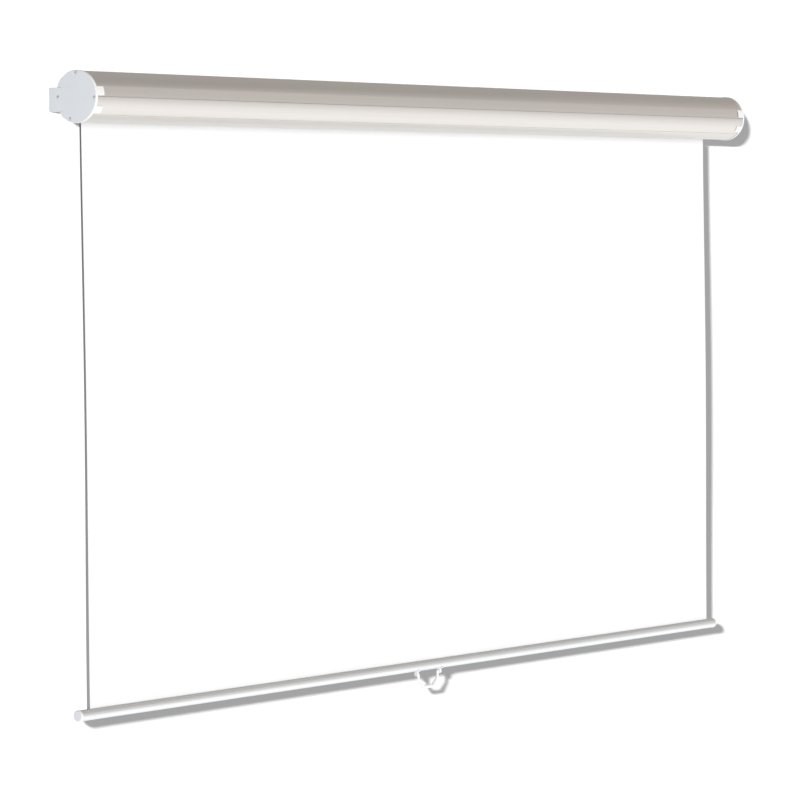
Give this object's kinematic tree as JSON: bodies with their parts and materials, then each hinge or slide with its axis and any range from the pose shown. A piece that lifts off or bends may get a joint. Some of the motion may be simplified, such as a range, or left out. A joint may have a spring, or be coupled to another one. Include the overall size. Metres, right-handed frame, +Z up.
{
  "type": "projector screen",
  "caption": "Pull-down projector screen: matt white fabric on a spring roller in a round aluminium case, with end caps, wall brackets, drop bar and pull handle.",
  "frame": {"origin": "on the wall plane, behind the middle of the case and at the height of the case's axis", "axes": "+X along the case, to the right as seen from the room; +Y into the wall, so -Y faces the room; +Z up"},
  "size_m": [1.88, 0.0945, 1.0288],
  "materials": {
    "case_aluminium": "fine brushed, champagne anodised",
    "cap_plastic": "satin moulded",
    "bracket_steel": "satin paint",
    "zinc_steel": "zinc plated",
    "spring_steel": "oiled",
    "nylon": "natural",
    "screen_fabric": "matt coated",
    "bar_lacquer": "satin lacquer",
    "white_plastic": "semi-gloss moulded"
  },
  "bodies": {
    "case": {"case_shell": "case_aluminium", "end_cap_left": "cap_plastic", "end_cap_right": "cap_plastic", "wall_bracket_left": "bracket_steel", "wall_bracket_right": "bracket_steel", "cap_screw_left_front": "zinc_steel", "cap_screw_left_top": "zinc_steel", "cap_screw_left_rear": "zinc_steel", "cap_screw_left_bottom": "zinc_steel", "cap_screw_right_front": "zinc_steel", "cap_screw_right_top": "zinc_steel", "cap_screw_right_rear": "zinc_steel", "cap_screw_right_bottom": "zinc_steel", "idle_bush": "nylon", "spring_arbor": "zinc_steel", "spring_anchor_fixed": "zinc_steel", "torsion_spring": "spring_steel", "ratchet_hub": "zinc_steel", "screen_fabric": "screen_fabric"},
    "roller": {"roller_tube": "zinc_steel", "wound_fabric": "screen_fabric", "roller_plug_left": "nylon", "roller_plug_right": "nylon", "idle_pin": "zinc_steel", "spring_anchor_turning": "nylon", "pawl_pin_upper": "zinc_steel", "pawl_pin_lower": "zinc_steel"},
    "pawl_upper": {"pawl_upper": "zinc_steel"},
    "pawl_lower": {"pawl_lower": "zinc_steel"},
    "bottom_bar": {"bottom_bar_tube": "bar_lacquer", "bottom_bar_cap_left": "white_plastic", "bottom_bar_cap_right": "white_plastic", "fabric_hem": "screen_fabric", "hem_spline": "white_plastic", "handle_clip_left": "white_plastic", "handle_clip_right": "white_plastic"},
    "pull_handle": {"pull_handle": "white_plastic"}
  },
  "joints": [
    {"name": "screen_lift", "type": "slide", "parent": "case", "child": "bottom_bar", "axis": [0, 0, 1], "range_m": [0, 0.906], "deforming": ["screen_fabric"]},
    {"name": "roller_spin", "type": "hinge", "parent": "case", "child": "roller", "pos_m": [0, -0.054, 0], "axis": [1, 0, 0], "range_deg": [0, 1890]},
    {"name": "pawl_upper_swing", "type": "hinge", "parent": "roller", "child": "pawl_upper", "pos_m": [0.9148, -0.066, 0.0115], "axis": [1, 0, 0], "range_deg": [-11, 18]},
    {"name": "pawl_lower_swing", "type": "hinge", "parent": "roller", "child": "pawl_lower", "pos_m": [0.9148, -0.042, -0.0115], "axis": [1, 0, 0], "range_deg": [-11, 18]},
    {"name": "handle_swing", "type": "hinge", "parent": "bottom_bar", "child": "pull_handle", "pos_m": [0, -0.027, -0.9617], "axis": [1, 0, 0], "range_deg": [-110, 60]}
  ],
  "couplings": [
    {"joint": "roller_spin", "follows": "screen_lift", "rad_per_m": 36.409}
  ]
}
